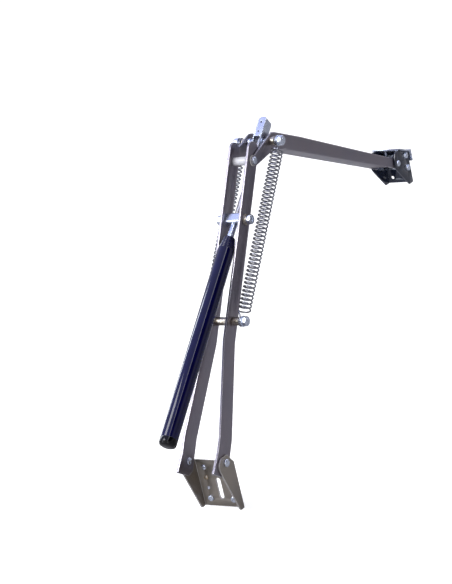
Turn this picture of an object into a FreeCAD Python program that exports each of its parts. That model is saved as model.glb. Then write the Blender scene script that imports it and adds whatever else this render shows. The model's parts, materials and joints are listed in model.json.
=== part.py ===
import FreeCAD, Part
import Sketcher
import math
import os
import re

# Automatic vent opener: a wax cylinder pushes a folding lever arm open and two springs fold it shut.
# Row frame in millimetres: +Z up along the sill bracket's back plate, +Y out through that plate, +X
# along every hinge pin. The origin is the centre of the sill screw holes on the mounting face.

doc = FreeCAD.newDocument("vent_opener")
sheet = doc.addObject("Spreadsheet::Sheet", "sizes")

# Driving dimensions: plain numbers in millimetres and degrees.
DRIVING = {
    # sill bracket
    "sheet_gauge": 2.0,
    "bracket_half_width": 33.0,
    "bracket_top": 28.0,
    "bracket_bottom": -44.0,
    "screw_column": 19.0,
    "screw_row": 16.0,
    "screw_hole_radius": 2.25,
    "foot_forward": 20.0,
    "foot_height": 34.0,
    # legs: foot pivot to knee pivot, and where they turn from wide apart to close together
    "leg_span": 432.0,
    "leg_lean": 36.0,
    "leg_gauge": 3.0,
    "leg_half_top": 15.2,
    "leg_half_foot": 29.0,
    "splay_top": 168.0,
    "splay_foot": 33.0,
    "leg_back": 12.0,
    "leg_front_top": 14.0,
    "leg_front_foot": 18.4,
    "leg_front_toe": 23.8,
    "taper_top": 300.0,
    "taper_foot": 10.0,
    "leg_tail": 20.0,
    "leg_crown": 27.5,
    "pivot_radius": 4.0,
    "running_fit": 0.05,
    # seats on the legs, measured up from the foot pivot
    "spring_seat": 198.0,
    "cylinder_seat": 345.0,
    # upper arm
    "arm_reach": 445.0,
    "arm_drop": 19.2,
    "arm_half_width": 20.0,
    "rod_forward": 47.0,
    "rod_above": 28.5,
    # wax cylinder
    "tube_radius": 12.25,
    "tube_wall": 1.45,
    "tube_reach": 354.0,
    "cap_height": 11.0,
    "head_top": 30.0,
    "head_height": 20.0,
    "head_crown": 7.2,
    "guide_radius": 6.2,
    "neck_radius": 5.0,
    "piston_radius": 3.5,
    "block_half": 8.0,
    "piston_gap": 0.2,
    # yoke that hangs on the upper rod and takes the piston's thrust
    "yoke_half_width": 7.0,
    "yoke_wall": 1.5,
    "yoke_front": 8.6,
    "yoke_back": 9.4,
    "yoke_height": 39.0,
    "yoke_eye_low": 13.0,
    "yoke_eye_high": 29.0,
    "button_seat": 31.0,
    # springs: how far out each coil stands at its two ends, and the coil itself
    "right_coil_low": 32.0,
    "right_coil_high": 34.0,
    "left_coil_low": 26.4,
    "left_coil_high": 29.8,
    "hook_side": 27.5,
    "hook_room": 5.0,
    "coil_radius": 8.2,
    "spring_wire_radius": 1.05,
    "coil_turns": 41.0,
    "lower_hook": 15.0,
    "upper_hook": 15.0,
    # M8 rods and their nuts
    "rod_half_length": 41.0,
    "nut_across_flats": 13.0,
    "nut_height": 6.5,
    "washer_radius": 8.0,
    "spacer_radius": 6.0,
    # window clamp
    "clamp_inner": 20.6,
    "clamp_top": 20.0,
    "clamp_bottom": -45.0,
    "clamp_depth": 40.0,
    "clamp_grip": 3.5,
    "roof_slope": 22.0,
    "upper_bolt_forward": 29.0,
    "upper_bolt_up": 4.0,
    "lower_bolt_forward": 30.0,
    "lower_bolt_up": -17.0,
    "clamp_column": 13.0,
    "clamp_row": 10.0,
}

# Sizes that follow from the driving ones.
DERIVED = {
    "pivot_hole": "pivot_radius + running_fit",
    "leg_inner": "leg_half_top - leg_gauge / 2",
    "leg_outer": "leg_half_top + leg_gauge / 2",
    "foot_inner": "leg_half_foot - leg_gauge / 2",
    "foot_outer": "leg_half_foot + leg_gauge / 2",
    "ear_inner": "bracket_half_width - sheet_gauge",
    "arm_inner": "arm_half_width - sheet_gauge",
    "tube_bore": "tube_radius - tube_wall",
    "rod_bore": "piston_radius + running_fit",
    "yoke_inner": "yoke_half_width - yoke_wall",
    "clamp_outer": "clamp_inner + sheet_gauge",
    "head_foot": "-head_top - head_height",
    "nut_face": "hook_side + hook_room + 1.5",
    "trunnion_face": "leg_outer + 4.5",
    "clamp_back": "clamp_depth + clamp_grip",
}

for row, (name, number) in enumerate(list(DRIVING.items()) + list(DERIVED.items()), start=1):
    sheet.set(f"A{row}", name)
    sheet.set(f"B{row}", f"={number}" if isinstance(number, str) else str(number))
    sheet.setAlias(f"B{row}", name)
doc.recompute()

ALIASES = re.compile(r"\b(" + "|".join(list(DRIVING) + list(DERIVED)) + r")\b")


def bound(text):
    """The expression with every size name pointing into the size sheet."""
    return ALIASES.sub(r"sizes.\1", str(text))


def size(text):
    """The present value of an expression in the size names."""
    return float(sheet.evalExpression(bound(text)))


# ---------------------------------------------------------------- pivots of the open linkage

def turned_point(origin, degrees, forward, up):
    """A point given in a frame that stands at origin and is turned about +X."""
    angle = math.radians(degrees)
    return (
        origin[0] + forward * math.cos(angle) - up * math.sin(angle),
        origin[1] + forward * math.sin(angle) + up * math.cos(angle),
    )


foot = (-size("foot_forward"), size("foot_height"))
leg_turn = -size("leg_lean")
arm_turn = -size("arm_drop")
knee = turned_point(foot, leg_turn, 0, size("leg_span"))
cylinder_pivot = turned_point(foot, leg_turn, 0, size("cylinder_seat"))
spring_pivot = turned_point(foot, leg_turn, 0, size("spring_seat"))
rod_pivot = turned_point(knee, arm_turn, size("rod_forward"), size("rod_above"))
window_pivot = turned_point(knee, arm_turn, size("arm_reach"), 0)


def heading(start, end):
    """Turn about +X that points local +Z from start to end, and the distance between them."""
    forward = end[0] - start[0]
    up = end[1] - start[1]
    return -math.degrees(math.atan2(forward, up)), math.hypot(forward, up)


cylinder_turn, cylinder_to_rod = heading(cylinder_pivot, rod_pivot)
spring_turn, spring_length = heading(spring_pivot, rod_pivot)


def seat(point, degrees):
    """Placement of a frame that stands at a pivot and is turned about +X."""
    turn = FreeCAD.Rotation(FreeCAD.Vector(1, 0, 0), degrees)
    return FreeCAD.Placement(FreeCAD.Vector(0, point[0], point[1]), turn)


ON_SILL = seat((0, 0), 0)
ON_FOOT = seat(foot, 0)
ON_LEGS = seat(foot, leg_turn)
ON_ARM = seat(knee, arm_turn)
ON_CYLINDER = seat(cylinder_pivot, cylinder_turn)
ON_YOKE = seat(rod_pivot, cylinder_turn)
ON_SPRINGS = seat(spring_pivot, spring_turn)
ON_CLAMP = seat(window_pivot, 0)

parts = {}


# ---------------------------------------------------------------- sketch and feature helpers

def start_body(label, placement):
    """A body that becomes one node, standing in the given frame."""
    body = doc.addObject("PartDesign::Body", label)
    body.Label = label
    body.AllowCompound = True
    body.Placement = placement
    parts[label] = body
    return body


def start_sketch(body, plane, shift="0"):
    """A sketch on one of the body's own origin planes, shifted along that plane's normal."""
    sketch = body.newObject("Sketcher::SketchObject", f"{body.Name}_sketch")
    support = [item for item in body.Origin.OriginFeatures if item.Role == plane][0]
    sketch.AttachmentSupport = [(support, "")]
    sketch.MapMode = "FlatFace"
    sketch.setExpression("AttachmentOffset.Base.z", bound(shift))
    return sketch


def pin_point(sketch, geometry, end, across, up):
    """Ties one point of the sketch to two expressions."""
    for kind, text in (("DistanceX", across), ("DistanceY", up)):
        index = sketch.addConstraint(Sketcher.Constraint(kind, -1, 1, geometry, end, size(text)))
        sketch.setExpression(f"Constraints[{index}]", bound(text))


def outline(sketch, corners):
    """A closed outline through corners given as pairs of expressions."""
    places = [FreeCAD.Vector(size(across), size(up), 0) for across, up in corners]
    first = sketch.GeometryCount
    for number, place in enumerate(places):
        sketch.addGeometry(Part.LineSegment(place, places[(number + 1) % len(places)]))
    for number in range(len(places)):
        following = first + (number + 1) % len(places)
        sketch.addConstraint(Sketcher.Constraint("Coincident", first + number, 2, following, 1))
    for number, (across, up) in enumerate(corners):
        pin_point(sketch, first + number, 1, across, up)


def circle(sketch, across, up, radius):
    """A circle whose centre and radius are expressions."""
    middle = FreeCAD.Vector(size(across), size(up), 0)
    number = sketch.GeometryCount
    sketch.addGeometry(Part.Circle(middle, FreeCAD.Vector(0, 0, 1), size(radius)))
    pin_point(sketch, number, 3, across, up)
    index = sketch.addConstraint(Sketcher.Constraint("Radius", number, size(radius)))
    sketch.setExpression(f"Constraints[{index}]", bound(radius))


def box_corners(left, right, low, high):
    """The four corners of an upright rectangle."""
    return [(left, low), (right, low), (right, high), (left, high)]


def hexagon_corners(across_flats):
    """The six corners of a hexagon centred on the sketch's origin."""
    corners = []
    for number in range(6):
        turn = 30 + 60 * number
        across = f"{across_flats} / sqrt(3) * cos({turn})"
        up = f"{across_flats} / sqrt(3) * sin({turn})"
        corners.append((across, up))
    return corners


def pad(body, sketch, length):
    """Raises a sketch into a solid along its normal."""
    feature = body.newObject("PartDesign::Pad", f"{body.Name}_pad")
    feature.Profile = sketch
    feature.setExpression("Length", bound(length))
    doc.recompute()
    return feature


def pocket(body, sketch, length):
    """Cuts a sketch into the body along the sketch's normal, and checks that it removed material."""
    before = body.Shape.Volume
    feature = body.newObject("PartDesign::Pocket", f"{body.Name}_pocket")
    feature.Profile = sketch
    feature.Reversed = True
    feature.setExpression("Length", bound(length))
    doc.recompute()
    if body.Shape.Volume >= before:
        raise ValueError(f"{feature.Name} removed nothing")
    return feature


def revolve(body, sketch, axis):
    """Turns a sketch about one of its own axes."""
    feature = body.newObject("PartDesign::Revolution", f"{body.Name}_turning")
    feature.Profile = sketch
    feature.ReferenceAxis = (sketch, [axis])
    feature.Angle = 360
    doc.recompute()
    return feature


def edge_names(body, chosen):
    """Names of the body's edges whose middle point and direction pass a test, in its own frame."""
    names = []
    for number, edge in enumerate(body.Tip.Shape.Edges, start=1):
        if edge.Curve.TypeId != "Part::GeomLine":
            continue
        middle = edge.valueAt((edge.FirstParameter + edge.LastParameter) / 2)
        along = edge.tangentAt(edge.FirstParameter)
        if chosen(middle, along):
            names.append(f"Edge{number}")
    return names


def round_edges(body, radius, chosen):
    """Rounds every straight edge that passes the test."""
    names = edge_names(body, chosen)
    if not names:
        raise ValueError(f"no edge to round on {body.Name}")
    previous = body.Tip
    feature = body.newObject("PartDesign::Fillet", f"{body.Name}_round")
    feature.Base = (previous, names)
    feature.setExpression("Radius", bound(radius))
    doc.recompute()
    if "Invalid" in feature.State:
        raise ValueError(f"{feature.Name} with radius {radius} could not be rounded")
    return feature


def cross_edges_at(places):
    """A test for edges along X that pass any of the given (forward, up) places."""
    spots = [(size(forward), size(up)) for forward, up in places]

    def chosen(middle, along):
        if abs(along.x) < 0.99:
            return False
        return any(math.hypot(middle.y - y, middle.z - z) < 0.2 for y, z in spots)

    return chosen


def turned_across(label, placement, profiles):
    """A part turned about the local X axis; each profile is a list of (across, radius) corners."""
    body = start_body(label, placement)
    sketch = start_sketch(body, "XY_Plane")
    for corners in profiles:
        outline(sketch, corners)
    revolve(body, sketch, "H_Axis")
    return body


def turned_upright(label, placement, profiles):
    """A part turned about the local Z axis; each profile is a list of (radius, height) corners."""
    body = start_body(label, placement)
    sketch = start_sketch(body, "XZ_Plane")
    for corners in profiles:
        outline(sketch, corners)
    revolve(body, sketch, "V_Axis")
    return body


def both_sides(corners):
    """A profile and its mirror image across the middle plane."""
    mirrored = [(f"-({across})", up) for across, up in reversed(corners)]
    return [corners, mirrored]


def ring(left, right, bore, rim):
    """The section of a plain ring turned about X."""
    return box_corners(left, right, bore, rim)


def bevelled_ring(left, right, bore, rim, bevel):
    """The section of a ring turned about X whose outer rims are bevelled."""
    return [
        (left, bore),
        (right, bore),
        (right, f"{rim} - {bevel}"),
        (f"{right} - {bevel}", rim),
        (f"{left} + {bevel}", rim),
        (left, f"{rim} - {bevel}"),
    ]


def cut_hexagon(body, across_flats, left, length):
    """Cuts everything outside a hexagon about the X axis between two stations."""
    sketch = start_sketch(body, "YZ_Plane", left)
    circle(sketch, "0", "0", f"{across_flats} * 1.5")
    outline(sketch, hexagon_corners(across_flats))
    pocket(body, sketch, length)


def nut_pair(label, placement, near, height, across_flats, bore):
    """Two hexagon nuts, one on each side, turned with bevelled corners and cut to the hexagon."""
    far = f"{near} + {height}"
    corner = f"({across_flats}) / 1.78"
    section = bevelled_ring(near, far, bore, corner, "0.8")
    body = turned_across(label, placement, both_sides(section))
    cut_hexagon(body, across_flats, f"-({far}) - 1", f"2 * ({far}) + 2")
    return body


# ---------------------------------------------------------------- sill bracket

def make_sill_bracket():
    """U-shaped sheet: back plate against the sill, side flanges that rise into pivot ears."""
    body = start_body("sill_bracket", ON_SILL)
    side = [
        ("0", "bracket_bottom"),
        ("0", "bracket_top - 2"),
        ("-7", "foot_height"),
        ("7 - foot_forward", "foot_height + 10.5"),
        ("-17.5 - foot_forward", "foot_height + 10.5"),
        ("-17.5 - foot_forward", "foot_height - 5"),
        ("-11", "bracket_bottom"),
    ]
    sketch = start_sketch(body, "YZ_Plane", "-bracket_half_width")
    outline(sketch, side)
    pad(body, sketch, "2 * bracket_half_width")
    round_edges(body, "12.5", cross_edges_at([side[4]]))
    round_edges(body, "9", cross_edges_at([side[3]]))
    round_edges(body, "5", cross_edges_at([side[5]]))
    round_edges(body, "4", cross_edges_at([side[2], side[6]]))

    hollow = start_sketch(body, "YZ_Plane", "-ear_inner")
    front = "-foot_forward - 30"
    outline(hollow, box_corners(front, "-sheet_gauge", "bracket_bottom - 5", "foot_height + 20"))
    pocket(body, hollow, "2 * ear_inner")
    bend = size("bracket_half_width")

    def outer_bend(middle, along):
        return abs(along.z) > 0.99 and abs(middle.y) < 0.1 and abs(abs(middle.x) - bend) < 0.1

    round_edges(body, "sheet_gauge", outer_bend)

    holes = start_sketch(body, "XZ_Plane", "-1")
    for side_sign in (-1, 1):
        column = f"{side_sign} * screw_column"
        for level in (1, 0, -1):
            circle(holes, column, f"{level} * screw_row", "screw_hole_radius")
        circle(holes, column, "-2 * screw_row", "2.5")
    pocket(body, holes, "sheet_gauge + 2")
    slot = start_sketch(body, "XZ_Plane", "-1")
    outline(slot, box_corners("-3.5", "3.5", "3.5 - 2 * screw_row", "-3.5"))
    pocket(body, slot, "sheet_gauge + 2")
    for level in ("3.5 - 2 * screw_row", "-3.5"):
        slot_end = start_sketch(body, "XZ_Plane", "-1")
        circle(slot_end, "0", level, "3.5")
        pocket(body, slot_end, "sheet_gauge + 2")
    pivots = start_sketch(body, "YZ_Plane", "-bracket_half_width - 1")
    circle(pivots, "-foot_forward", "foot_height", "pivot_hole")
    pocket(body, pivots, "2 * bracket_half_width + 2")


def make_foot_pins():
    """Shouldered pins riveted into the ears; the legs turn on them."""
    section = [
        ("foot_inner - 2", "0"),
        ("bracket_half_width + 3.2", "0"),
        ("bracket_half_width + 3.2", "4.2"),
        ("bracket_half_width + 2.2", "5.6"),
        ("bracket_half_width", "5.6"),
        ("bracket_half_width", "pivot_radius"),
        ("foot_inner - 0.1", "pivot_radius"),
        ("foot_inner - 0.1", "5.2"),
        ("foot_inner - 1.2", "5.2"),
        ("foot_inner - 2", "4"),
    ]
    turned_across("foot_pins", ON_FOOT, both_sides(section))
    washer = ring("foot_outer + 0.05", "ear_inner - 0.05", "pivot_hole", "washer_radius")
    turned_across("foot_washers", ON_FOOT, both_sides(washer))


def make_sill_screws():
    """Two slotted pan-head screws that hold the bracket's lower edge to the sill."""
    body = start_body("sill_screws", ON_SILL)
    shank = start_sketch(body, "XZ_Plane", "-14")
    head = start_sketch(body, "XZ_Plane", "sheet_gauge")
    for side_sign in (-1, 1):
        circle(shank, f"{side_sign} * screw_column", "-2 * screw_row", "2.4")
        circle(head, f"{side_sign} * screw_column", "-2 * screw_row", "4.8")
    pad(body, shank, "14 + sheet_gauge")
    pad(body, head, "2.6")
    rim = -size("sheet_gauge") - 2.6
    dome = [
        f"Edge{number}"
        for number, edge in enumerate(body.Tip.Shape.Edges, start=1)
        if edge.Curve.TypeId == "Part::GeomCircle"
        and abs(edge.Curve.Radius - 4.8) < 0.01
        and abs(edge.Curve.Center.y - rim) < 0.01
    ]
    previous = body.Tip
    feature = body.newObject("PartDesign::Fillet", "sill_screws_dome")
    feature.Base = (previous, dome)
    feature.Radius = 1.8
    doc.recompute()
    slots = start_sketch(body, "XZ_Plane", "sheet_gauge + 1.4")
    for side_sign in (-1, 1):
        middle = f"{side_sign} * screw_column"
        slant = [
            (f"{middle} - 4.4", "-2 * screw_row - 4.9"),
            (f"{middle} - 3.2", "-2 * screw_row - 5.5"),
            (f"{middle} + 4.4", "-2 * screw_row + 4.9"),
            (f"{middle} + 3.2", "-2 * screw_row + 5.5"),
        ]
        outline(slots, slant)
    pocket(body, slots, "3")


# ---------------------------------------------------------------- legs

def make_leg(label, sign):
    """One flat bar, straight beside the cylinder and bent outward to reach the bracket's ear."""
    body = start_body(label, ON_LEGS)
    crown = "leg_span + leg_crown"
    face = [
        (f"{sign} * leg_inner", crown),
        (f"{sign} * leg_inner", "splay_top"),
        (f"{sign} * foot_inner", "splay_foot"),
        (f"{sign} * foot_inner", "-leg_tail - 5"),
        (f"{sign} * foot_outer", "-leg_tail - 5"),
        (f"{sign} * foot_outer", "splay_foot"),
        (f"{sign} * leg_outer", "splay_top"),
        (f"{sign} * leg_outer", crown),
    ]
    front = start_sketch(body, "XZ_Plane", "-leg_back - 10")
    outline(front, face if sign > 0 else list(reversed(face)))
    pad(body, front, "leg_back + leg_front_toe + 20")
    bends = [(size(across), size(up)) for across, up in (face[1], face[2], face[5], face[6])]

    def bend(middle, along):
        near = any(math.hypot(middle.x - x, middle.z - z) < 0.2 for x, z in bends)
        return abs(along.y) > 0.99 and near

    round_edges(body, "40", bend)

    side = [
        ("leg_back", "-leg_tail"),
        ("leg_back", crown),
        ("-leg_front_top", crown),
        ("-leg_front_top", "taper_top"),
        ("-leg_front_foot", "taper_foot"),
        ("-leg_front_toe", "-leg_tail"),
    ]
    inner_face = f"{sign} * leg_half_top - 30" if sign < 0 else "0"
    trim = start_sketch(body, "YZ_Plane", inner_face)
    outline(trim, box_corners("-60", "60", "-60", "leg_span + 60"))
    outline(trim, side)
    pocket(body, trim, "45")
    round_edges(body, "11.5", cross_edges_at([side[0], side[1], side[2]]))
    round_edges(body, "2", cross_edges_at([side[5]]))
    pivots = start_sketch(body, "YZ_Plane", inner_face)
    for height in ("0", "spring_seat", "cylinder_seat", "leg_span"):
        circle(pivots, "0", height, "pivot_hole")
    pocket(body, pivots, "45")


def make_knee():
    """Pin headed on the left and riveted on the right, through both legs and both arm plates."""
    frame = seat(knee, leg_turn)
    head = "arm_half_width + 0.05"
    pin = [
        (f"-({head}) - 3", "0"),
        (f"{head} + 2.4", "0"),
        (f"{head} + 2.4", "3.6"),
        (f"{head} + 1.2", "5.4"),
        (head, "5.4"),
        (head, "pivot_radius"),
        (f"-({head})", "pivot_radius"),
        (f"-({head})", "washer_radius"),
        (f"-({head}) - 1.6", "washer_radius"),
        (f"-({head}) - 3", "washer_radius - 3"),
    ]
    turned_across("knee_pin", frame, [pin])
    sleeve = bevelled_ring("-leg_inner", "leg_inner", "pivot_hole", "6.25", "0.5")
    turned_across("knee_sleeve", frame, [sleeve])
    washer = bevelled_ring("leg_outer + 0.05", "arm_inner - 0.05", "pivot_hole", "washer_radius", "0.4")
    turned_across("knee_washers", frame, both_sides(washer))


def make_lower_rod():
    """Threaded rod through the legs that anchors the lower ends of both springs."""
    frame = seat(spring_pivot, leg_turn)
    tip = "rod_half_length"
    rod = [
        (f"-{tip}", "0"),
        (tip, "0"),
        (tip, "pivot_radius - 0.8"),
        (f"{tip} - 0.8", "pivot_radius"),
        (f"0.8 - {tip}", "pivot_radius"),
        (f"-{tip}", "pivot_radius - 0.8"),
    ]
    turned_across("lower_rod", frame, [rod])
    sleeve = bevelled_ring("-leg_inner", "leg_inner", "pivot_hole", "spacer_radius", "0.5")
    turned_across("lower_sleeve", frame, [sleeve])
    spacer = bevelled_ring("leg_outer", "hook_side", "pivot_hole", "spacer_radius", "0.5")
    turned_across("lower_spacers", frame, both_sides(spacer))
    end_washer = ring("hook_side + hook_room", "nut_face", "pivot_hole", "washer_radius")
    turned_across("lower_washers", frame, both_sides(end_washer))
    nut_pair("lower_nuts", frame, "nut_face", "nut_height", "nut_across_flats", "pivot_hole")


def make_trunnion_screws():
    """Hexagon-headed screws with hollow ends; the cylinder's block swings on their tips."""
    frame = seat(cylinder_pivot, leg_turn)
    corner = "nut_across_flats / 1.78"
    screw = [
        ("5", "0"),
        ("trunnion_face + 5.5", "0"),
        ("trunnion_face + 5.5", "3"),
        ("trunnion_face + nut_height", "3"),
        ("trunnion_face + nut_height", f"{corner} - 0.9"),
        ("trunnion_face + nut_height - 0.9", corner),
        ("trunnion_face", corner),
        ("trunnion_face", "pivot_radius"),
        ("5.6", "pivot_radius"),
        ("5", "pivot_radius - 0.6"),
    ]
    body = turned_across("trunnion_screws", frame, both_sides(screw))
    cut_hexagon(body, "nut_across_flats", "-trunnion_face - 8", "2 * trunnion_face + 16")
    collar = [
        ("leg_outer", "pivot_hole"),
        ("trunnion_face", "pivot_hole"),
        ("trunnion_face", "spacer_radius"),
        ("leg_outer + 1.5", "spacer_radius"),
        ("leg_outer + 1.5", "washer_radius"),
        ("leg_outer", "washer_radius"),
    ]
    turned_across("trunnion_washers", frame, both_sides(collar))


# ---------------------------------------------------------------- wax cylinder

def make_trunnion_block():
    """Cross block between the legs, bored along the piston and cross-bored for its pivot screws."""
    body = start_body("trunnion_block", ON_CYLINDER)
    sketch = start_sketch(body, "YZ_Plane", "0.15 - leg_inner")
    outline(sketch, box_corners("-block_half", "block_half", "-block_half", "block_half"))
    pad(body, sketch, "2 * leg_inner - 0.3")
    corners = [(y, z) for y in ("-block_half", "block_half") for z in ("-block_half", "block_half")]
    round_edges(body, "3", cross_edges_at(corners))
    bore = start_sketch(body, "XY_Plane", "-block_half - 1")
    circle(bore, "0", "0", "rod_bore")
    pocket(body, bore, "2 * block_half + 2")
    for shift in ("4.9", "-leg_inner - 1"):
        cross = start_sketch(body, "YZ_Plane", shift)
        circle(cross, "0", "0", "pivot_hole")
        pocket(body, cross, "leg_inner - 3.9")


def make_cylinder():
    """Tube of wax with a tapered, ridged head, neck, rod guide, seal and closed lower end."""
    neck = [
        ("rod_bore", "-head_top - 3"),
        ("neck_radius", "-head_top - 3"),
        ("neck_radius", "-block_half"),
        ("rod_bore", "-block_half"),
    ]
    turned_upright("cylinder_neck", ON_CYLINDER, [neck])
    head = [
        ("guide_radius + 0.02", "head_foot - 6"),
        ("tube_bore - 0.02", "head_foot - 6"),
        ("tube_bore - 0.02", "head_foot"),
    ]
    ridge_count = 7
    for ridge in range(ridge_count):
        low = ridge / ridge_count
        high = (ridge + 0.5) / ridge_count
        slim = f"tube_radius - 0.8 + (head_crown - tube_radius + 0.8) * {low}"
        wide = f"tube_radius + (head_crown - tube_radius + 0.8) * {high}"
        head.append((slim, f"head_foot + head_height * {low}"))
        head.append((wide, f"head_foot + head_height * {high}"))
    head += [
        ("head_crown", "-head_top"),
        ("neck_radius + 0.02", "-head_top"),
        ("neck_radius + 0.02", "-head_top - 3"),
        ("guide_radius + 0.02", "-head_top - 3"),
    ]
    turned_upright("cylinder_head", ON_CYLINDER, [head])
    guide = box_corners("rod_bore", "guide_radius", "head_foot + 2", "-head_top - 3.02")
    turned_upright("rod_guide", ON_CYLINDER, [guide])
    seal = box_corners("rod_bore", "guide_radius", "head_foot - 3", "head_foot + 1.98")
    turned_upright("rod_seal", ON_CYLINDER, [seal])
    tube = box_corners("tube_bore", "tube_radius", "cap_height - tube_reach", "head_foot")
    turned_upright("cylinder_tube", ON_CYLINDER, [tube])
    cap = [
        ("0", "-tube_reach"),
        ("tube_radius - 4.2", "-tube_reach"),
        ("tube_radius - 1.2", "1.4 - tube_reach"),
        ("tube_radius", "4.4 - tube_reach"),
        ("tube_radius", "cap_height - tube_reach"),
        ("tube_bore - 0.02", "cap_height - tube_reach"),
        ("tube_bore - 0.02", "cap_height + 6 - tube_reach"),
        ("0", "cap_height + 6 - tube_reach"),
    ]
    turned_upright("end_cap", ON_CYLINDER, [cap])
    wax = box_corners("0", "tube_bore - 0.02", "cap_height + 6.02 - tube_reach", "-136")
    turned_upright("wax_charge", ON_CYLINDER, [wax])


def make_piston():
    """Plain rod that leaves the neck and pushes the yoke, with a cup that rides in the tube."""
    tip = f"{cylinder_to_rod:.4f} + button_seat - piston_gap"
    rod = [
        ("0", "-66"),
        ("piston_radius", "-66"),
        ("piston_radius", f"{tip} - 1.5"),
        ("piston_radius - 1.5", tip),
        ("0", tip),
    ]
    turned_upright("piston_rod", ON_CYLINDER, [rod])
    rim = "tube_bore - running_fit"
    cup = [("piston_radius + 0.02", "-66"), (f"{rim} - 1", "-66"), (rim, "-65")]
    cup += [(rim, "-58"), (f"{rim} - 1", "-57"), ("piston_radius + 0.02", "-57")]
    turned_upright("piston_cup", ON_CYLINDER, [cup])


# ---------------------------------------------------------------- upper arm

def make_arm():
    """Channel arm: two boomerang side plates joined by a web under their long straight part."""
    body = start_body("arm_channel", ON_ARM)
    side = [
        ("-7.8", "1.5"),
        ("rod_forward + 3", "rod_above + 13"),
        ("rod_forward + 11", "rod_above + 13.8"),
        ("134", "37"),
        ("402", "11.4"),
        ("arm_reach + 2", "9"),
        ("arm_reach + 9", "4"),
        ("arm_reach + 9", "-5"),
        ("arm_reach + 2", "-9.5"),
        ("417", "-6.4"),
        ("131", "14.4"),
        ("82", "17.4"),
        ("rod_forward + 1", "rod_above - 15.5"),
        ("6", "-6.6"),
        ("-4.5", "-7.4"),
    ]
    sketch = start_sketch(body, "YZ_Plane", "-arm_half_width")
    outline(sketch, side)
    pad(body, sketch, "2 * arm_half_width")
    round_edges(body, "4", cross_edges_at([side[5], side[6], side[7], side[8]]))
    round_edges(body, "6", cross_edges_at([side[0], side[14]]))
    round_edges(body, "9", cross_edges_at([side[2]]))
    lower = [(side[9], side[10]), (side[10], side[11])]
    spots = [
        ((size(a[0]) + size(b[0])) / 2, (size(a[1]) + size(b[1])) / 2)
        for a, b in lower
    ]

    def channel_bend(middle, along):
        near = any(math.hypot(middle.y - y, middle.z - z) < 1 for y, z in spots)
        return abs(along.x) < 0.01 and near

    round_edges(body, "2.8", channel_bend)
    hollow = start_sketch(body, "YZ_Plane", "-arm_inner")
    inside = [
        ("-30", "-30"),
        ("84", "-30"),
        ("84", "19.3"),
        ("131", "16.4"),
        ("416", "-4.3"),
        ("416", "-30"),
        ("arm_reach + 30", "-30"),
        ("arm_reach + 30", "80"),
        ("-30", "80"),
    ]
    outline(hollow, inside)
    pocket(body, hollow, "2 * arm_inner")
    holes = start_sketch(body, "YZ_Plane", "-arm_half_width - 1")
    circle(holes, "0", "0", "pivot_hole")
    circle(holes, "rod_forward", "rod_above", "pivot_hole")
    circle(holes, "arm_reach", "0", "3 + running_fit")
    pocket(body, holes, "2 * arm_half_width + 2")


def make_upper_rod():
    """Shouldered rods through the arm plates: the yoke hangs between them, the springs outside."""
    frame = seat(rod_pivot, arm_turn)
    tip = "rod_half_length"
    stub = [
        ("yoke_inner + 0.2", "0"),
        (tip, "0"),
        (tip, "pivot_radius - 0.8"),
        (f"{tip} - 0.8", "pivot_radius"),
        ("yoke_inner + 0.2", "pivot_radius"),
    ]
    turned_across("upper_rods", frame, both_sides(stub))
    collar = bevelled_ring("arm_inner - 5", "arm_inner", "pivot_hole", "5.6", "0.5")
    turned_across("upper_collars", frame, both_sides(collar))
    spacer = bevelled_ring("arm_half_width", "hook_side", "pivot_hole", "spacer_radius", "0.5")
    turned_across("upper_spacers", frame, both_sides(spacer))
    end_washer = ring("hook_side + hook_room", "nut_face", "pivot_hole", "washer_radius")
    turned_across("upper_washers", frame, both_sides(end_washer))
    nut_pair("upper_nuts", frame, "nut_face", "nut_height", "nut_across_flats", "pivot_hole")


# ---------------------------------------------------------------- yoke

def make_yoke():
    """Round-topped hood, open behind, that hangs on the upper rods over the piston's tip."""
    body = start_body("yoke", ON_YOKE)
    low = "-pivot_radius - 3.5"
    shoulder = "yoke_height - 3"
    sketch = start_sketch(body, "XZ_Plane", "-yoke_back")
    outline(sketch, box_corners("-yoke_half_width", "yoke_half_width", low, "yoke_height"))
    pad(body, sketch, "yoke_back + yoke_front")
    top = size("yoke_height")

    def crown(middle, along):
        return abs(middle.z - top) < 0.1 and abs(along.y) > 0.99

    def crown_ends(middle, along):
        front = abs(middle.y + size("yoke_front")) < 0.1
        back = abs(middle.y - size("yoke_back")) < 0.1
        return abs(middle.z - top) < 0.1 and abs(along.x) > 0.99 and (front or back)

    round_edges(body, "yoke_half_width - 0.8", crown)
    round_edges(body, "2", crown_ends)
    hollow = start_sketch(body, "XZ_Plane", "-yoke_back - 1")
    outline(hollow, box_corners("-yoke_inner", "yoke_inner", f"{low} - 1", shoulder))
    pocket(body, hollow, "yoke_back + yoke_front - yoke_wall + 1")
    window = start_sketch(body, "XZ_Plane", "yoke_front - yoke_wall - 1")
    outline(window, box_corners("-yoke_inner", "yoke_inner", f"{low} - 1", "5"))
    pocket(body, window, "yoke_wall + 2")
    pivots = start_sketch(body, "YZ_Plane", "-yoke_half_width - 1")
    circle(pivots, "0", "0", "pivot_hole")
    pocket(body, pivots, "2 * yoke_half_width + 2")
    eyes = start_sketch(body, "XZ_Plane", "yoke_front - yoke_wall - 1")
    for height in ("yoke_eye_low", "yoke_eye_high"):
        circle(eyes, "0", height, "1.6")
    pocket(body, eyes, "yoke_wall + 2")
    stem_hole = start_sketch(body, "XY_Plane", shoulder + " - 1")
    circle(stem_hole, "0", "0", "1.52")
    pocket(body, stem_hole, "6")
    button = [
        ("0", "button_seat"),
        ("3.2", "button_seat"),
        ("3.7", "button_seat + 0.5"),
        ("3.7", shoulder),
        ("1.5", shoulder),
        ("1.5", "yoke_height"),
        ("0", "yoke_height + 0.4"),
    ]
    turned_upright("thrust_button", ON_YOKE, [button])


# ---------------------------------------------------------------- springs

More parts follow.
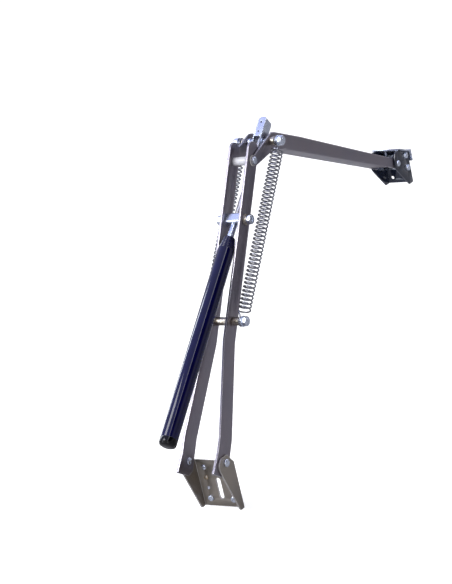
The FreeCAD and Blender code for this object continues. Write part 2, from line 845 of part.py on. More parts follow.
def hook_eye(side, height):
    """A ring of wire round a rod, in the springs' own frame."""
    wire = size("spring_wire_radius")
    around = size("pivot_radius") + wire + 0.25
    middle = side * (size("hook_side") + size("hook_room") / 2)
    centre = FreeCAD.Vector(middle, 0, height)
    return Part.makeTorus(around, wire, centre, FreeCAD.Vector(1, 0, 0)), centre, around


def make_spring(label, side, low, high):
    """Extension spring: a coil of wire joined by a straight stem to an eye round each rod."""
    wire = size("spring_wire_radius")
    coil = size("coil_radius")
    start = size("lower_hook")
    finish = spring_length - size("upper_hook")
    turns = size("coil_turns")
    rise = finish - start
    helix = Part.makeHelix(rise / turns, rise, coil)
    outward = FreeCAD.Vector(coil, 0, 0)
    section = Part.Circle(outward, FreeCAD.Vector(0, 1, 0), wire).toShape()
    solid = Part.Wire(helix.Edges).makePipeShell([Part.Wire(section)], True, True)
    lean = math.degrees(math.atan2(side * (size(high) - size(low)), rise))
    tilted = FreeCAD.Rotation(FreeCAD.Vector(0, 1, 0), lean)
    ends_inward = FreeCAD.Rotation(FreeCAD.Vector(0, 0, 1), 90 + 90 * side)
    foot_of_coil = FreeCAD.Vector(side * size(low), 0, start)
    placed = FreeCAD.Placement(foot_of_coil, tilted.multiply(ends_inward))
    solid.Placement = placed
    pieces = [solid]
    for height, along, turn, way in ((0, 0, 30, 1), (spring_length, rise, -30, -1)):
        eye, centre, around = hook_eye(side, height)
        angle = math.radians(turn)
        end_of_coil = FreeCAD.Vector(
            coil * math.cos(angle),
            coil * math.sin(angle),
            along + turn / 360 * rise / turns,
        )
        begin = placed.multVec(end_of_coil)
        stem = centre + FreeCAD.Vector(0, 0, way * around) - begin
        pieces += [eye, Part.makeCylinder(0.9 * wire, stem.Length, begin, stem)]
    feature = doc.addObject("Part::Feature", label)
    feature.Label = label
    feature.Shape = pieces[0].fuse(pieces[1:])
    feature.Placement = ON_SPRINGS
    parts[label] = feature


# ---------------------------------------------------------------- window clamp

def make_window_bracket():
    """Folded bracket: two ears beside the arm's end and a web against the window frame."""
    body = start_body("window_bracket", ON_CLAMP)
    side = [
        ("-11", "-6"),
        ("-11", "8"),
        ("-4", "clamp_top"),
        ("8", "clamp_top"),
        ("clamp_depth", "clamp_top - (clamp_depth - 8) * tan(roof_slope)"),
        ("clamp_depth", "clamp_bottom"),
        ("clamp_depth - 14", "clamp_bottom"),
        ("-4", "-14"),
    ]
    sketch = start_sketch(body, "YZ_Plane", "-clamp_outer")
    outline(sketch, side)
    pad(body, sketch, "2 * clamp_outer")
    round_edges(body, "5", cross_edges_at([side[0], side[1], side[2], side[7]]))
    round_edges(body, "3", cross_edges_at([side[6]]))
    hollow = start_sketch(body, "YZ_Plane", "-clamp_inner")
    outline(hollow, box_corners("-20", "clamp_depth - sheet_gauge", "-60", "60"))
    pocket(body, hollow, "2 * clamp_inner")
    holes = start_sketch(body, "XZ_Plane", "-clamp_depth - 1")
    for across in ("-clamp_column", "clamp_column"):
        for level in ("-16", "-16 - 2 * clamp_row"):
            circle(holes, across, level, "2.75")
    pocket(body, holes, "sheet_gauge + 2")
    pin_hole = start_sketch(body, "YZ_Plane", "-clamp_outer - 1")
    circle(pin_hole, "0", "0", "3.05")
    circle(pin_hole, "upper_bolt_forward", "upper_bolt_up", "3.05")
    circle(pin_hole, "lower_bolt_forward", "lower_bolt_up", "3.05")
    pocket(body, pin_hole, "2 * clamp_outer + 2")


def make_hook_plate():
    """Bright plate along the bracket's sloping top, turned down behind it to grip the frame's lip."""
    body = start_body("hook_plate", ON_CLAMP)
    slope = "tan(roof_slope)"
    thick = "2.4 / cos(roof_slope)"
    back = "clamp_back + 2.4"
    under_front = f"clamp_top + 0.05 - 1.5 * {slope}"
    under_web = f"clamp_top + 0.05 - (clamp_depth - 8) * {slope}"
    side = [
        ("9.5", under_front),
        ("clamp_depth", under_web),
        ("clamp_back", under_web),
        ("clamp_back", "-10"),
        (back, "-10"),
        (back, f"{under_web} + {thick}"),
        ("clamp_depth", f"{under_web} + {thick}"),
        ("9.5", f"{under_front} + {thick}"),
    ]
    half = "clamp_outer + 3.4"
    sketch = start_sketch(body, "YZ_Plane", f"-({half})")
    outline(sketch, side)
    pad(body, sketch, f"2 * ({half})")
    round_edges(body, "1.5", cross_edges_at([side[5]]))
    rib = start_sketch(body, "YZ_Plane", "-4")
    outline(rib, box_corners("9.5", "12", f"{under_front} - 8", f"{under_front} + 0.5"))
    pad(body, rib, "2.5")


def make_window_pins():
    """Riveted hinge pin at the arm's end, and the two cross bolts that close the bracket."""
    head = "clamp_outer"
    pin = [
        (f"-({head}) - 2.6", "0"),
        (f"{head} + 2.6", "0"),
        (f"{head} + 2.6", "2.8"),
        (f"{head} + 1.6", "4.6"),
        (head, "5.4"),
        (head, "3"),
        (f"-({head})", "3"),
        (f"-({head})", "5.4"),
        (f"-({head}) - 1.6", "4.6"),
        (f"-({head}) - 2.6", "2.8"),
    ]
    turned_across("window_pin", ON_CLAMP, [pin])
    gap_washer = ring("arm_half_width + 0.05", "clamp_inner - 0.05", "3.05", "7")
    turned_across("window_washers", ON_CLAMP, both_sides(gap_washer))
    bolt = [
        (f"-({head}) - 8.5", "0"),
        (f"{head} + 4", "0"),
        (f"{head} + 4", "2.6"),
        (f"{head} + 2.8", "4.6"),
        (head, "5.5"),
        (head, "3"),
        (f"-({head}) - 7.9", "3"),
        (f"-({head}) - 8.5", "2.4"),
    ]
    for level in ("upper", "lower"):
        forward = size(f"{level}_bolt_forward")
        up = size(f"{level}_bolt_up")
        frame = seat((window_pivot[0] + forward, window_pivot[1] + up), 0)
        turned_across(f"{level}_clamp_bolt", frame, [bolt])
        nut = bevelled_ring("-clamp_outer - 5", "-clamp_outer", "3.05", "10 / 1.78", "0.7")
        body = turned_across(f"{level}_clamp_nut", frame, [nut])
        cut_hexagon(body, "10", "-clamp_outer - 6", "7")


make_sill_bracket()
make_foot_pins()
make_sill_screws()
make_leg("leg_left", -1)
make_leg("leg_right", 1)
make_knee()
make_lower_rod()
make_trunnion_screws()
make_trunnion_block()
make_cylinder()
make_piston()
make_arm()
make_upper_rod()
make_yoke()
make_spring("spring_left", -1, "left_coil_low", "left_coil_high")
make_spring("spring_right", 1, "right_coil_low", "right_coil_high")
make_window_bracket()
make_hook_plate()
make_window_pins()


# ---------------------------------------------------------------- checks and export

doc.recompute()
for item in doc.Objects:
    if "Invalid" in item.State or "Error" in item.State:
        raise ValueError(f"{item.Name} did not compute: {item.State}")
os.makedirs("parts", exist_ok=True)
for label, item in parts.items():
    if item.Shape.isNull() or not item.Shape.isValid():
        raise ValueError(f"{label} has no valid shape")
    item.Shape.exportStep(f"parts/{label}.step")
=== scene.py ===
import json
import math

import bmesh
import bpy
from mathutils import Matrix, Vector


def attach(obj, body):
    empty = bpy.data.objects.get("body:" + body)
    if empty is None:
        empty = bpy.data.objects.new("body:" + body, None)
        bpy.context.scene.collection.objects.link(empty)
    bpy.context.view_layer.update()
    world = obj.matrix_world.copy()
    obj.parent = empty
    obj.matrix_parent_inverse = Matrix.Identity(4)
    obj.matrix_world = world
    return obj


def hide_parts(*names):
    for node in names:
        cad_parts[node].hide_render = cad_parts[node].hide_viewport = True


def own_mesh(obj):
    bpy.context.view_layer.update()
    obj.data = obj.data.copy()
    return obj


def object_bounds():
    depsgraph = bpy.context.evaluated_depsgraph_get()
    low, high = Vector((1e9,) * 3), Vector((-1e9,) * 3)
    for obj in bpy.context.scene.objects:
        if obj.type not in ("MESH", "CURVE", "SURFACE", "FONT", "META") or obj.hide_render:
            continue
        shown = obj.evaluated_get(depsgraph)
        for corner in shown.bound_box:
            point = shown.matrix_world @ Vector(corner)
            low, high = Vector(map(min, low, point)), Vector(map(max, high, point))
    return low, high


# Looks for an automatic vent opener. Everything is in metres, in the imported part's own frame:
# +Z up along the sill bracket's plate, +Y into the sill, +X along the hinge pins.

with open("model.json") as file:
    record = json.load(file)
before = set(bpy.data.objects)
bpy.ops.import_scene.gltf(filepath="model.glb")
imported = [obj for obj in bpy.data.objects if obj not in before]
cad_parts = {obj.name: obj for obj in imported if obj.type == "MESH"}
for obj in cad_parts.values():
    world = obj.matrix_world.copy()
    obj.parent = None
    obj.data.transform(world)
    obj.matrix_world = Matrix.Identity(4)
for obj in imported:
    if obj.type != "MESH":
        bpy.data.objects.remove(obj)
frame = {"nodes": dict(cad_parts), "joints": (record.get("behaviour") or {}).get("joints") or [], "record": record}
cad_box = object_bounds()

NODES = frame["nodes"]
JOINTS = {joint["name"]: joint for joint in frame["joints"]}
MILLIMETRE = 0.001


def pivot(joint):
    """A hinge's centre at rest."""
    return Vector(JOINTS[joint]["pos_m"])


FOOT = pivot("foot_hinge")
KNEE = pivot("knee_hinge")
ROD = pivot("yoke_tilt")
HOOK = pivot("spring_tilt")
WINDOW = pivot("window_hinge")


def turn_to(start, end):
    """Rotation about X that carries +Z onto the line from start to end."""
    line = end - start
    return Matrix.Rotation(-math.atan2(line.y, line.z), 4, "X")


LEG_TURN = turn_to(FOOT, KNEE)
SPRING_TURN = turn_to(HOOK, ROD)
ARM_TURN = turn_to(KNEE, WINDOW)


# ---------------------------------------------------------------- material helpers

class Nodes:
    """A short way to write the nodes and links of a material or of the surroundings."""

    def __init__(self, tree):
        self.tree = tree

    def node(self, kind, **inputs):
        made = self.tree.nodes.new(kind)
        for key, given in inputs.items():
            self.feed(made.inputs[key.replace("_", " ")], given)
        return made

    def feed(self, socket, given):
        if isinstance(given, bpy.types.NodeSocket):
            self.tree.links.new(given, socket)
        else:
            socket.default_value = given

    def math(self, operation, first, second=0.0):
        made = self.tree.nodes.new("ShaderNodeMath")
        made.operation = operation
        self.feed(made.inputs[0], first)
        self.feed(made.inputs[1], second)
        return made.outputs[0]

    def mix(self, share, low, high):
        made = self.tree.nodes.new("ShaderNodeMix")
        made.data_type = "RGBA"
        self.feed(made.inputs[0], share)
        self.feed(made.inputs[6], low)
        self.feed(made.inputs[7], high)
        return made.outputs[2]

    def ramp(self, source, low, high, to_low=0.0, to_high=1.0):
        made = self.tree.nodes.new("ShaderNodeMapRange")
        for key, given in (
            ("Value", source),
            ("From Min", low),
            ("From Max", high),
            ("To Min", to_low),
            ("To Max", to_high),
        ):
            self.feed(made.inputs[key], given)
        return made.outputs[0]

    def seen_by(self, kind):
        """1 for rays of one kind, such as the camera's own."""
        return self.tree.nodes.new("ShaderNodeLightPath").outputs[kind]


class Graph(Nodes):
    """The nodes of one material, round its surface shader."""

    def __init__(self, name):
        self.material = bpy.data.materials.new(name)
        self.material.use_nodes = True
        super().__init__(self.material.node_tree)
        self.shader = self.tree.nodes["Principled BSDF"]

    def set(self, name, given):
        self.feed(self.shader.inputs[name], given)

    def place(self, turn=None, stretch=(1, 1, 1)):
        """Object coordinates in millimetres, turned about X and stretched."""
        where = self.node("ShaderNodeTexCoord").outputs["Object"]
        angle = -turn.to_euler().x if turn else 0
        turned = self.node("ShaderNodeMapping", Vector=where)
        turned.inputs["Rotation"].default_value = (angle, 0, 0)
        scaled = self.node("ShaderNodeMapping", Vector=turned.outputs[0])
        scaled.inputs["Scale"].default_value = [1000 * share for share in stretch]
        return scaled.outputs[0]

    def noise(self, where, scale, detail=4.0, roughness=0.55):
        made = self.node(
            "ShaderNodeTexNoise", Vector=where, Scale=scale, Detail=detail, Roughness=roughness
        )
        return made.outputs["Fac"]

    def edge(self, radius):
        """1 on corners sharper than the given rounding, 0 on flat faces."""
        bevel = self.node("ShaderNodeBevel", Radius=radius)
        bevel.samples = 6
        flat = self.node("ShaderNodeNewGeometry").outputs["Normal"]
        dot = self.tree.nodes.new("ShaderNodeVectorMath")
        dot.operation = "DOT_PRODUCT"
        self.feed(dot.inputs[0], bevel.outputs[0])
        self.feed(dot.inputs[1], flat)
        return self.ramp(dot.outputs["Value"], 0.995, 0.85)

    def bump(self, height, strength, distance=0.0002):
        made = self.node(
            "ShaderNodeBump", Height=height, Strength=strength, Distance=distance
        )
        self.set("Normal", made.outputs[0])


def steel_sheet(name, turn=None, tone=(0.24, 0.225, 0.265), warm=(0.28, 0.25, 0.27)):
    """Satin stainless sheet: rolled grain along its length, cloudy tone, bright edges painted on as a highlight.
    """
    graph = Graph(name)
    grain = graph.noise(graph.place(turn, (1.0, 1.0, 0.025)), 2.2, 6.0, 0.7)
    cloud = graph.noise(graph.place(turn, (1, 1, 0.6)), 0.025, 3.0)
    spots = graph.noise(graph.place(), 0.9, 2.0)
    # Corners and rims are painted near-white as a highlight, and made less metallic and smoother so they catch the
    # lamps.
    edge_highlight = graph.edge(0.0014)
    base = graph.mix(graph.ramp(cloud, 0.35, 0.7), (*tone, 1), (*warm, 1))
    lighter = [1.5 * share for share in tone]
    streaked = graph.mix(graph.ramp(grain, 0.3, 0.75, 0.0, 0.35), base, (*lighter, 1))
    graph.set("Base Color", graph.mix(edge_highlight, streaked, (0.95, 0.95, 0.97, 1)))
    graph.set("Metallic", graph.ramp(edge_highlight, 0.0, 1.0, 1.0, 0.45))
    rough = graph.ramp(grain, 0.25, 0.8, 0.30, 0.44)
    smudged = graph.math("ADD", rough, graph.ramp(spots, 0.55, 0.8, 0.0, 0.10))
    graph.set("Roughness", graph.math("SUBTRACT", smudged, graph.math("MULTIPLY", edge_highlight, 0.15)))
    graph.set("Anisotropic", 0.45)
    graph.bump(grain, 0.18)
    return graph.material


def bright_zinc(name, tone=(0.78, 0.83, 0.92), rough=0.18):
    """Zinc plate: bluish, bright, faintly mottled, duller where it has been handled."""
    graph = Graph(name)
    mottle = graph.noise(graph.place(), 0.35, 5.0, 0.65)
    fine = graph.noise(graph.place(), 3.5, 3.0)
    # Rims are painted near-white as a highlight.
    edge_highlight = graph.edge(0.0006)
    duller = [share * fade for share, fade in zip(tone, (0.72, 0.75, 0.82))]
    base = graph.mix(graph.ramp(mottle, 0.3, 0.75), (*tone, 1), (*duller, 1))
    graph.set("Base Color", graph.mix(edge_highlight, base, (0.95, 0.96, 1.0, 1)))
    graph.set("Metallic", 1.0)
    graph.set("Roughness", graph.ramp(mottle, 0.25, 0.8, rough, rough + 0.16))
    graph.bump(fine, 0.12, 0.0001)
    return graph.material


def turned_steel(name, tone):
    """Lathe-turned steel with fine rings round the hinge axis and a brownish film."""
    graph = Graph(name)
    rings = graph.noise(graph.place(None, (1.0, 0.02, 0.02)), 6.0, 3.0)
    film = graph.noise(graph.place(), 0.25, 4.0)
    # Rims are painted a lighter grey as a highlight.
    edge_highlight = graph.edge(0.0006)
    base = graph.mix(graph.ramp(film, 0.3, 0.7), (*tone, 1), (0.55, 0.52, 0.46, 1))
    graph.set("Base Color", graph.mix(edge_highlight, base, (0.85, 0.83, 0.80, 1)))
    graph.set("Metallic", 1.0)
    graph.set("Roughness", graph.ramp(rings, 0.3, 0.7, 0.22, 0.38))
    graph.bump(rings, 0.25)
    return graph.material


def gloss_paint(name, dark, sheen, rough=0.12, coat=0.8):
    """Thick gloss paint with a clear top layer, faint orange peel and lighter rims painted on as a highlight."""
    graph = Graph(name)
    peel = graph.noise(graph.place(), 0.9, 2.0)
    dust = graph.noise(graph.place(), 5.0, 4.0, 0.7)
    patches = graph.noise(graph.place(), 0.06, 3.0)
    edge_highlight = graph.edge(0.0007)
    base = graph.mix(graph.ramp(patches, 0.35, 0.65), (*dark, 1), (*sheen, 1))
    specks = graph.mix(graph.ramp(dust, 0.70, 0.80, 0.0, 0.4), base, (0.12, 0.12, 0.13, 1))
    # Rims are painted half-way to a light grey-blue as a highlight.
    rim_highlight_share = graph.math("MULTIPLY", edge_highlight, 0.5)
    graph.set("Base Color", graph.mix(rim_highlight_share, specks, (0.20, 0.21, 0.25, 1)))
    graph.set("Roughness", graph.ramp(dust, 0.4, 0.8, rough, rough + 0.12))
    graph.set("Specular IOR Level", 0.15)
    graph.set("Coat Weight", coat)
    graph.set("Coat Roughness", 0.05)
    graph.bump(peel, 0.06, 0.0003)
    return graph.material


def moulded(name, tone, rough):
    """Moulded plastic or rubber with a fine matt grain and slight patches of tone."""
    graph = Graph(name)
    grain = graph.noise(graph.place(), 4.0, 3.0)
    patches = graph.noise(graph.place(), 0.12, 3.0)
    darker = [0.7 * share for share in tone]
    # Rims are painted a little lighter as a highlight.
    edge_highlight = graph.edge(0.0006)
    lighter = [min(1.0, 1.15 * share + 0.02) for share in tone]
    base = graph.mix(graph.ramp(patches, 0.3, 0.7), (*tone, 1), (*darker, 1))
    graph.set("Base Color", graph.mix(edge_highlight, base, (*lighter, 1)))
    graph.set("Roughness", graph.ramp(grain, 0.3, 0.7, rough - 0.08, rough + 0.08))
    graph.bump(grain, 0.2, 0.0002)
    return graph.material


LOOKS = {
    "leg_steel": steel_sheet("leg_steel", LEG_TURN),
    "arm_steel": steel_sheet("arm_steel", ARM_TURN),
    "bracket_steel": steel_sheet(
        "bracket_steel", None, (0.31, 0.285, 0.255), (0.36, 0.315, 0.265)
    ),
    "zinc": bright_zinc("zinc"),
    "dark_zinc": gloss_paint("dark_zinc", (0.010, 0.014, 0.030), (0.016, 0.022, 0.045), 0.2),
    "spacer_steel": turned_steel("spacer_steel", (0.42, 0.36, 0.27)),
    "ground_steel": turned_steel("ground_steel", (0.62, 0.63, 0.66)),
    "black_paint": gloss_paint(
        "black_paint", (0.0016, 0.0015, 0.034), (0.0019, 0.0018, 0.045), 0.06, 0.4
    ),
    "cap_plastic": gloss_paint(
        "cap_plastic", (0.001, 0.001, 0.0015), (0.002, 0.002, 0.003), 0.12, 0.2
    ),
    "spring_wire": bright_zinc("spring_wire", (0.34, 0.34, 0.36), 0.16),
    "pale_sleeve": moulded("pale_sleeve", (0.80, 0.80, 0.84), 0.22),
    "bronze": turned_steel("bronze", (0.60, 0.42, 0.18)),
    "rubber": moulded("rubber", (0.03, 0.03, 0.03), 0.7),
    "nylon": moulded("nylon", (0.80, 0.78, 0.74), 0.45),
    "wax": moulded("wax", (0.85, 0.78, 0.60), 0.5),
}

SLOT_LOOK = {
    "zinc": "zinc",
    "dark_zinc": "dark_zinc",
    "spacer_steel": "spacer_steel",
    "black_paint": "black_paint",
    "ground_steel": "ground_steel",
    "spring_steel": "spring_wire",
    "bronze": "bronze",
    "rubber": "rubber",
    "nylon": "nylon",
    "wax": "wax",
}
NODE_LOOK = {
    "sill_bracket": "bracket_steel",
    "leg_left": "leg_steel",
    "leg_right": "leg_steel",
    "arm_channel": "arm_steel",
    "end_cap": "cap_plastic",
    "knee_sleeve": "pale_sleeve",
    "knee_washers": "nylon",
    "trunnion_washers": "spacer_steel",
}


WELD_REACH = 0.01 * MILLIMETRE
RIM_WIDTH = 0.35 * MILLIMETRE
RIM_ANGLE = math.radians(40)
CORNER_ANGLE = math.radians(35)


def dress_cad_nodes():
    """Gives every carried CAD node its procedural material, rounded rims and smooth shading."""
    for part in frame["record"]["subparts"]:
        node = NODES[part["node"]]
        slot = part.get("material_slot") or part["node"]
        look = NODE_LOOK.get(node.name) or SLOT_LOOK[slot]
        node.data.materials.clear()
        node.data.materials.append(LOOKS[look])
        weld = node.modifiers.new("weld", "WELD")
        weld.merge_threshold = WELD_REACH
        bevel = node.modifiers.new("rim", "BEVEL")
        bevel.width = RIM_WIDTH
        bevel.segments = 2
        bevel.limit_method = "ANGLE"
        bevel.angle_limit = RIM_ANGLE
        bevel.harden_normals = False
        for polygon in node.data.polygons:
            polygon.use_smooth = True
        smooth = node.modifiers.new("corners", "EDGE_SPLIT")
        smooth.split_angle = CORNER_ANGLE


dress_cad_nodes()


# ---------------------------------------------------------------- mesh helpers

def add_piece(name, vertices, faces, look, body, placed=None, smooth_angle=35):
    """A mesh object with its material, riding on a body."""
    mesh = bpy.data.meshes.new(name)
    mesh.from_pydata([tuple(vertex) for vertex in vertices], [], faces)
    if placed is not None:
        mesh.transform(placed)
    mesh.validate()
    work = bmesh.new()
    work.from_mesh(mesh)
    bmesh.ops.remove_doubles(work, verts=work.verts, dist=1e-7)
    bmesh.ops.recalc_face_normals(work, faces=work.faces)
    work.to_mesh(mesh)
    work.free()
    for polygon in mesh.polygons:
        polygon.use_smooth = True
    piece = bpy.data.objects.new(name, mesh)
    bpy.context.scene.collection.objects.link(piece)
    mesh.materials.append(LOOKS[look])
    split = piece.modifiers.new("corners", "EDGE_SPLIT")
    split.split_angle = math.radians(smooth_angle)
    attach(piece, body)
    return piece


def sweep_mesh(path, radius, sides):
    """Vertices and faces of a round wire along a path of points."""
    vertices = []
    faces = []
    count = len(path)
    tangent = (path[1] - path[0]).normalized()
    side = tangent.orthogonal().normalized()
    for number, point in enumerate(path):
        before = path[max(number - 1, 0)]
        after = path[min(number + 1, count - 1)]
        tangent = (after - before).normalized()
        side = (side - tangent * side.dot(tangent)).normalized()
        other = tangent.cross(side)
        for step in range(sides):
            angle = 2 * math.pi * step / sides
            vertices.append(point + (side * math.cos(angle) + other * math.sin(angle)) * radius)
    for ring in range(count - 1):
        for step in range(sides):
            first = ring * sides + step
            second = ring * sides + (step + 1) % sides
            faces.append((first, second, second + sides, first + sides))
    faces.append(tuple(reversed(range(sides))))
    faces.append(tuple(range((count - 1) * sides, count * sides)))
    return vertices, faces


def lathe_mesh(profile, segments):
    """Vertices and faces of a closed solid turned about local X from (across, radius) points."""
    vertices = []
    faces = []
    rings = []
    for across, radius in profile:
        if radius < 1e-9:
            rings.append([len(vertices)])
            vertices.append(Vector((across, 0, 0)))
            continue
        ring = []
        for step in range(segments):
            angle = 2 * math.pi * step / segments
            ring.append(len(vertices))
            vertices.append(Vector((across, radius * math.cos(angle), radius * math.sin(angle))))
        rings.append(ring)
    for one, two in zip(rings, rings[1:]):
        for step in range(segments):
            following = (step + 1) % segments
            corners = [
                one[step % len(one)],
                one[following % len(one)],
                two[following % len(two)],
                two[step % len(two)],
            ]
            unique = list(dict.fromkeys(corners))
            if len(unique) > 2:
                faces.append(tuple(unique))
    return vertices, faces


# ---------------------------------------------------------------- springs

WIRE = 1.2 * MILLIMETRE
COIL = 8.2 * MILLIMETRE
COIL_TURNS = 41
COIL_MARGIN = 15 * MILLIMETRE
COIL_STEPS = 20
WIRE_SIDES = 8
EYE_OUT = 30 * MILLIMETRE
EYE_WIDTH = 5.4 * MILLIMETRE
EYE_HEIGHT = 6.9 * MILLIMETRE
# how far out each coil's axis stands at its low and high end, left being negative
COIL_AXES = {
    "spring_left": (-26.4 * MILLIMETRE, -29.8 * MILLIMETRE),
    "spring_right": (32 * MILLIMETRE, 34 * MILLIMETRE),
}


def smooth_path(points, steps):
    """Catmull-Rom points through the given ones."""
    padded = [points[0]] + points + [points[-1]]
    path = []
    for number in range(1, len(padded) - 2):
        a, b, c, d = padded[number - 1:number + 3]
        for step in range(steps):
            share = step / steps
            path.append(0.5 * (
                2 * b
                + (c - a) * share
                + (2 * a - 5 * b + 4 * c - d) * share ** 2
                + (3 * b - a - 3 * c + d) * share ** 3
            ))
    path.append(points[-1])
    return path


def coil_point(axis, side, angle, height):
    """A point on the coil; angle 0 is on the side next to the legs."""
    return Vector((axis - side * COIL * math.cos(angle), COIL * math.sin(angle), height))


def hook_path(side, axis, rod_height, coil_end, way):
    """Points from the coil's end round the rod; way is 1 when the coil lies above the rod."""
    turned = -way
    reach = abs(coil_end - rod_height)
    out = side * EYE_OUT
    points = [
        coil_point(axis, side, turned * math.radians(12), coil_end - way * 0.0003),
        coil_point(axis, side, turned * math.radians(45), coil_end - way * 0.0012),
        Vector((out, turned * EYE_WIDTH * 1.05, rod_height + way * 0.42 * reach)),
    ]
    for step in range(11):
        angle = math.radians(10 - 28 * step)
        height = rod_height + way * EYE_HEIGHT * math.sin(angle)
        points.append(Vector((out, turned * EYE_WIDTH * math.cos(angle), height)))
    return smooth_path(points, 4)


def spring_path(side, low, high, length):
    """The whole wire of one spring, from the lower rod's hook up to the upper rod's."""
    stop = length - COIL_MARGIN
    steps = COIL_TURNS * COIL_STEPS
    coil = []
    for step in range(steps + 1):
        share = step / steps
        axis = low + (high - low) * share
        height = COIL_MARGIN + (stop - COIL_MARGIN) * share
        coil.append(coil_point(axis, side, 2 * math.pi * step / COIL_STEPS, height))
    lower = list(reversed(hook_path(side, low, 0, COIL_MARGIN, 1)))
    upper = hook_path(side, high, length, stop, -1)
    return lower + coil[1:-1] + upper


def add_springs():
    """Two extension springs with a hook round each rod."""
    length = (ROD - HOOK).length
    placed = Matrix.Translation(Vector((0, HOOK.y, HOOK.z))) @ SPRING_TURN
    for name, (low, high) in COIL_AXES.items():
        side = math.copysign(1, low)
        vertices, faces = sweep_mesh(spring_path(side, low, high, length), WIRE, WIRE_SIDES)
        wire = add_piece(f"{name}_wire", vertices, faces, "spring_wire", "springs", placed, 60)
        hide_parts(name)
        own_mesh(wire)


add_springs()


# ---------------------------------------------------------------- sill screws seen in the plate

HEAD_COLUMN = 19 * MILLIMETRE
PLATE_FRONT = -2 * MILLIMETRE
# shares of a head's radius: the disc under the slot, half the slot, and the dome's (rise, radius)
DISC_RISE = 0.12
HALF_SLOT = 0.14
DOME_LEVELS = ((0.1, 1.0), (0.3, 1.0), (0.5, 0.85), (0.6, 0.6))
ROUND_STEPS = 40
# height of each head on the plate, its radius, its look and its slot's slant in degrees
PLATE_HEADS = (
    (16 * MILLIMETRE, 4.0 * MILLIMETRE, "zinc", 20),
    (0, 3.2 * MILLIMETRE, "bronze", -35),
    (-16 * MILLIMETRE, 2.7 * MILLIMETRE, "zinc", 60),
)


def slotted_head(radius):
    """Vertices and faces of a low dome in two halves with a slot between, on a thin disc."""
    thin = DISC_RISE * radius
    disc = [(0, 0), (0, radius), (thin, radius), (thin, 0)]
    vertices, faces = lathe_mesh(disc, ROUND_STEPS)
    gap = HALF_SLOT * radius
    steps = 16
    for way in (1, -1):
        first = len(vertices)
        for rise, share in DOME_LEVELS:
            around = share * radius
            start = math.asin(gap / around)
            for step in range(steps + 1):
                angle = start + (math.pi - 2 * start) * step / steps
                across = around * math.cos(angle)
                along = way * around * math.sin(angle)
                vertices.append(Vector((rise * radius, across, along)))
        ring = steps + 1
        for level in range(len(DOME_LEVELS) - 1):
            for step in range(ring):
                here = first + level * ring + step
                beside = first + level * ring + (step + 1) % ring
                faces.append((here, beside, beside + ring, here + ring))
        faces.append(tuple(range(first, first + ring)))
        top = first + (len(DOME_LEVELS) - 1) * ring
        faces.append(tuple(range(top, top + ring)))
    return vertices, faces


def add_plate_heads():
    """Small slotted screw heads in the upper holes of the left column."""
    for number, (height, radius, look, slant) in enumerate(PLATE_HEADS, 1):
        vertices, faces = slotted_head(radius)
        forward = Matrix.Rotation(math.radians(-90), 4, "Z")
        turned = Matrix.Rotation(math.radians(slant), 4, "X")
        place = Matrix.Translation(Vector((-HEAD_COLUMN, PLATE_FRONT, height)))
        head = add_piece(
            f"plate_head_{number}", vertices, faces, look, "bracket", place @ forward @ turned
        )


add_plate_heads()


# ---------------------------------------------------------------- floor, light and camera

ROOF_PITCH = math.radians(24.2)
CAMERA_YAW = math.radians(32.6)
CAMERA_PITCH = math.radians(2.0)
CAMERA_ROLL = math.radians(0.5)
CAMERA_DISTANCE = 2.373
CAMERA_LENS = 137.7
AIM_RIGHT = 0.0277
AIM_UP = 0.2333


def camera_axes():
    """Right, up and forward of a camera that looks level past an opener fitted to a pitched roof."""
    forward = Vector((
        -math.sin(CAMERA_YAW) * math.cos(CAMERA_PITCH),
        math.cos(CAMERA_YAW) * math.cos(CAMERA_PITCH),
        math.sin(CAMERA_PITCH),
    ))
    right = Vector((math.cos(CAMERA_YAW), math.sin(CAMERA_YAW), 0))
    up = right.cross(forward)
    rolled_right = right * math.cos(CAMERA_ROLL) + up * math.sin(CAMERA_ROLL)
    rolled_up = up * math.cos(CAMERA_ROLL) - right * math.sin(CAMERA_ROLL)
    pitch = Matrix.Rotation(-ROOF_PITCH, 3, "X")
    return pitch @ rolled_right, pitch @ rolled_up, pitch @ forward


def add_camera():
    """The camera stands back from a point up and to the right of the foot hinge."""
    right, up, forward = camera_axes()
    aim = FOOT + right * AIM_RIGHT + up * AIM_UP
    lens = bpy.data.cameras.new("camera")
    lens.sensor_fit = "HORIZONTAL"
    lens.sensor_width = 36
    lens.lens = CAMERA_LENS
    lens.clip_end = 50
    camera = bpy.data.objects.new("camera", lens)
    turn = Matrix((right, up, -forward)).transposed().to_4x4()
    camera.matrix_world = Matrix.Translation(aim - forward * CAMERA_DISTANCE) @ turn
    bpy.context.scene.collection.objects.link(camera)
    bpy.context.scene.camera = camera


FLOOR_REACH = 6.0
FLOOR_DROP = 4 * MILLIMETRE
FLOOR_GLOW = 0.55


def add_floor():
    """A wide pale floor just under the object; metal mirrors it a little darker than it looks."""
    low, high = cad_box
    reach = FLOOR_REACH
    mesh = bpy.data.meshes.new("floor")
    corners = [(-reach, -reach), (reach, -reach), (reach, reach), (-reach, reach)]
    level = low[2] - FLOOR_DROP
    mesh.from_pydata([(x, y, level) for x, y in corners], [], [(0, 1, 2, 3)])
    floor = bpy.data.objects.new("floor", mesh)
    bpy.context.scene.collection.objects.link(floor)
    graph = Graph("floor_paint")
    tint = graph.noise(graph.place(), 0.004, 2.0)
    pale = graph.mix(tint, (0.80, 0.80, 0.80, 1), (0.84, 0.84, 0.84, 1))
    mirrored = graph.seen_by("Is Glossy Ray")
    graph.set("Base Color", graph.mix(mirrored, pale, (0.42, 0.42, 0.44, 1)))
    graph.set("Roughness", 0.9)
    graph.set("Emission Color", (0.97, 0.97, 0.97, 1))
    seen = graph.math("MULTIPLY", graph.seen_by("Is Camera Ray"), FLOOR_GLOW)
    graph.set("Emission Strength", seen)
    mesh.materials.append(graph.material)


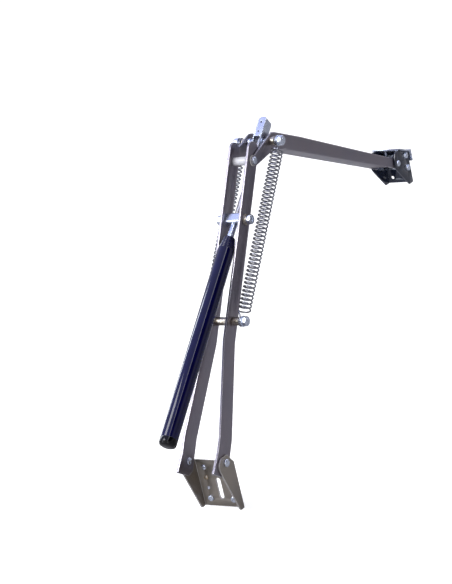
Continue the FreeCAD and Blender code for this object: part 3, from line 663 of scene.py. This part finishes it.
def add_light(name, place, target, width, height, power, tint=(1, 1, 1)):
    """A soft rectangular studio light."""
    lamp = bpy.data.lights.new(name, "AREA")
    lamp.shape = "RECTANGLE"
    lamp.size = width
    lamp.size_y = height
    lamp.energy = power
    lamp.color = tint
    holder = bpy.data.objects.new(name, lamp)
    holder.location = place
    holder.rotation_euler = (Vector(target) - Vector(place)).to_track_quat("-Z", "Y").to_euler()
    bpy.context.scene.collection.objects.link(holder)


# colours of the surroundings, and where across them the thin bright line stands
WHITE = (0.97, 0.97, 0.97, 1)
SKY_BRIGHT = (1.0, 1.0, 1.04, 1)
SKY_MIDDLE = (0.36, 0.36, 0.39, 1)
SKY_LOW = (0.10, 0.10, 0.12, 1)
SKY_BLUE = (0.70, 0.75, 1.15, 1)
SKY_DARK = (0.01, 0.01, 0.012, 1)
SKY_LINE = (5.0, 5.0, 5.4, 1)
LINE_AT = 0.42
LINE_HALF = 0.05


def add_world():
    """White to the eye; what gloss and metal mirror is a room with a blue and a dark ceiling."""
    world = bpy.data.worlds.new("studio")
    world.use_nodes = True
    bpy.context.scene.world = world
    nodes = Nodes(world.node_tree)
    where = nodes.node("ShaderNodeTexCoord").outputs["Generated"]
    toward = nodes.node("ShaderNodeSeparateXYZ", Vector=where).outputs
    low = nodes.mix(nodes.ramp(toward["Z"], -0.4, 0.05), SKY_LOW, SKY_MIDDLE)
    sky = nodes.mix(nodes.ramp(toward["Z"], 0.05, 0.55), low, SKY_BRIGHT)
    high = nodes.ramp(toward["Z"], 0.25, 0.5)
    behind = nodes.ramp(toward["Y"], -0.75, -0.60)
    ceiling = nodes.math("MULTIPLY", high, behind)
    right = nodes.ramp(toward["X"], LINE_AT, LINE_AT + 0.06)
    from_line = nodes.math("ABSOLUTE", nodes.math("SUBTRACT", toward["X"], LINE_AT))
    line = nodes.math("LESS_THAN", from_line, LINE_HALF)
    panels = nodes.mix(line, nodes.mix(right, SKY_BLUE, SKY_DARK), SKY_LINE)
    room = nodes.mix(ceiling, sky, panels)
    shaded = nodes.mix(nodes.ramp(toward["X"], 0.0, 0.5), sky, SKY_LOW)
    mirrored = nodes.mix(nodes.seen_by("Is Glossy Ray"), shaded, room)
    seen = nodes.mix(nodes.seen_by("Is Camera Ray"), mirrored, WHITE)
    nodes.feed(nodes.tree.nodes["Background"].inputs["Color"], seen)


add_camera()
add_floor()
add_world()
MIDDLE = (0, 0.25, 0.2)
add_light("key", (-1.2, -1.6, 2.2), MIDDLE, 1.2, 1.2, 45)
add_light("left", (-1.7, -1.9, 0.4), MIDDLE, 0.9, 1.6, 20, (0.82, 0.88, 1.0))
add_light("strip", (1.1, -2.1, 0.3), MIDDLE, 0.07, 2.2, 5)
add_light("rim", (-2.2, 0.6, 0.8), MIDDLE, 0.25, 2.0, 20, (0.85, 0.92, 1.0))
bpy.context.scene.view_settings.view_transform = "Standard"
